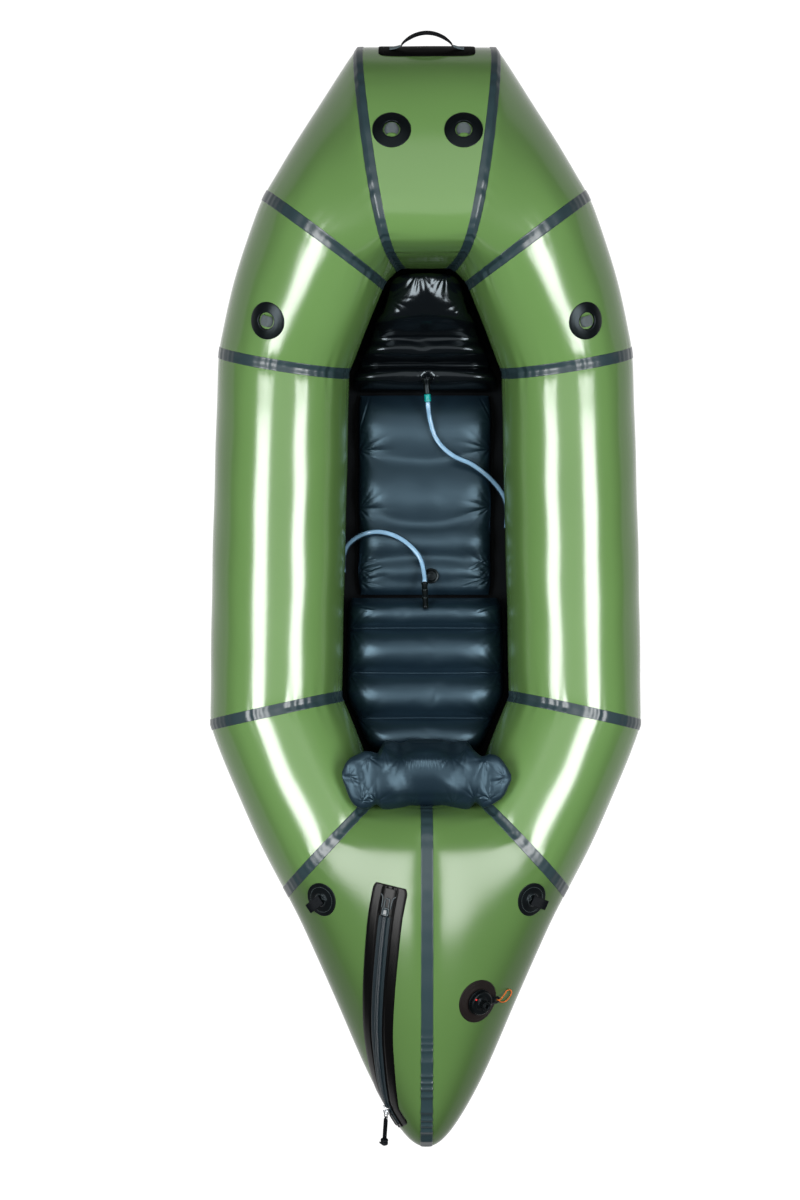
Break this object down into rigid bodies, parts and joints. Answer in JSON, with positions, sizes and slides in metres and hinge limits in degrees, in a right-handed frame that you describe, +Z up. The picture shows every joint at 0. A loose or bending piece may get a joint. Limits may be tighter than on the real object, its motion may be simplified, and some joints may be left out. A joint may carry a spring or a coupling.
{
  "type": "inflatable packraft",
  "caption": "Pointed inflatable boat for one paddler: mitred tubes round a cockpit with seat, leg mat, foot brace and backrest, with lash tabs, bow handle, stern valve and cargo zip.",
  "frame": {"origin": "middle of the flat underside of the floor, on the centre line", "axes": "+Y towards the bow, +X towards the right side seen from above, +Z up"},
  "size_m": [0.928, 2.3182, 0.4681],
  "materials": {
    "hull_green": "coated, semi-gloss",
    "tape_grey": "coated, satin",
    "floor_black": "coated, satin",
    "seat_cloth": "coated, satin",
    "brace_black": "coated, glossy",
    "rubber_black": "moulded, matte",
    "webbing_black": "woven, matte",
    "slider_metal": "polished",
    "barb_teal": "glossy",
    "hose_clear": "clear",
    "cord_orange": "braided, matte"
  },
  "bodies": {
    "raft": {"bow_centre_panel": "hull_green", "bow_handle_patch": "rubber_black", "bow_quarter_panel_left": "hull_green", "bow_quarter_panel_right": "hull_green", "bow_seam_tape_left": "tape_grey", "bow_seam_tape_right": "tape_grey", "bow_shoulder_panel_left": "hull_green", "bow_shoulder_panel_right": "hull_green", "floor_sheet": "floor_black", "foot_brace": "brace_black", "foot_brace_barb": "barb_teal", "foot_brace_hose": "hose_clear", "foot_brace_neck": "brace_black", "hip_seam_tape_left": "tape_grey", "hip_seam_tape_right": "tape_grey", "lash_bar_bow_left": "webbing_black", "lash_bar_bow_right": "webbing_black", "lash_bar_side_left": "webbing_black", "lash_bar_side_right": "webbing_black", "lash_disc_bow_left": "rubber_black", "lash_disc_bow_right": "rubber_black", "lash_disc_side_left": "rubber_black", "lash_disc_side_right": "rubber_black", "leg_mat": "seat_cloth", "quarter_seam_tape_left": "tape_grey", "quarter_seam_tape_right": "tape_grey", "seat_cushion": "seat_cloth", "seat_hose": "hose_clear", "seat_valve_base": "rubber_black", "seat_valve_stem": "rubber_black", "shoulder_seam_tape_left": "tape_grey", "shoulder_seam_tape_right": "tape_grey", "side_panel_left": "hull_green", "side_panel_right": "hull_green", "stern_loop_disc_left": "rubber_black", "stern_loop_disc_right": "rubber_black", "stern_panel_left": "hull_green", "stern_panel_right": "hull_green", "stern_quarter_panel_left": "hull_green", "stern_quarter_panel_right": "hull_green", "stern_seam_tape_left": "tape_grey", "stern_seam_tape_right": "tape_grey", "tail_seam_tape": "tape_grey", "valve_body": "rubber_black", "valve_cord_loop": "cord_orange", "valve_flange": "rubber_black", "valve_tether": "rubber_black", "zip_base": "rubber_black", "zip_chain": "rubber_black"},
    "backrest": {"backrest": "seat_cloth"},
    "bow_handle": {"bow_handle": "webbing_black"},
    "stern_loop_left": {"stern_loop_left": "webbing_black"},
    "stern_loop_right": {"stern_loop_right": "webbing_black"},
    "valve_cap": {"valve_cap": "rubber_black"},
    "valve_poppet": {"valve_poppet": "rubber_black"},
    "zip_slider": {"zip_slider": "slider_metal"},
    "zip_pull": {"zip_pull": "webbing_black", "zip_pull_ring": "slider_metal"}
  },
  "joints": [
    {"name": "backrest_tilt", "type": "hinge", "parent": "raft", "child": "backrest", "pos_m": [0, -0.34, 0.14], "axis": [-1, 0, 0], "range_deg": [0, 20]},
    {"name": "bow_handle_swing", "type": "hinge", "parent": "raft", "child": "bow_handle", "pos_m": [0, 1.13175, 0.34243], "axis": [1, 0, 0], "range_deg": [-30, 55]},
    {"name": "stern_loop_left_lift", "type": "hinge", "parent": "raft", "child": "stern_loop_left", "pos_m": [-0.22133, -0.61688, 0.3273], "axis": [-0.5619, 0.806, -0.1862], "range_deg": [0, 70]},
    {"name": "stern_loop_right_lift", "type": "hinge", "parent": "raft", "child": "stern_loop_right", "pos_m": [0.22133, -0.61688, 0.3273], "axis": [-0.4048, -0.9123, 0.0626], "range_deg": [0, 70]},
    {"name": "valve_cap_twist", "type": "hinge", "parent": "raft", "child": "valve_cap", "pos_m": [0.10461, -0.81682, 0.3519], "axis": [0.5156, -0.168, 0.8402], "range_deg": [0, 90]},
    {"name": "valve_poppet_push", "type": "slide", "parent": "raft", "child": "valve_poppet", "axis": [-0.5156, 0.168, -0.8402], "range_m": [0, 0.006], "stiffness_N_per_m": 400, "springref_m": -0.001},
    {"name": "zip_slider_run", "type": "hinge", "parent": "raft", "child": "zip_slider", "pos_m": [0.3467, -0.8078, -0.00049], "axis": [-0.6159, 0.1895, -0.7647], "range_deg": [0, 15]},
    {"name": "zip_pull_swing", "type": "hinge", "parent": "zip_slider", "child": "zip_pull", "pos_m": [-0.08508, -1.05918, 0.28578], "axis": [-0.6944, 0.1405, -0.7057], "range_deg": [0, 150]}
  ]
}
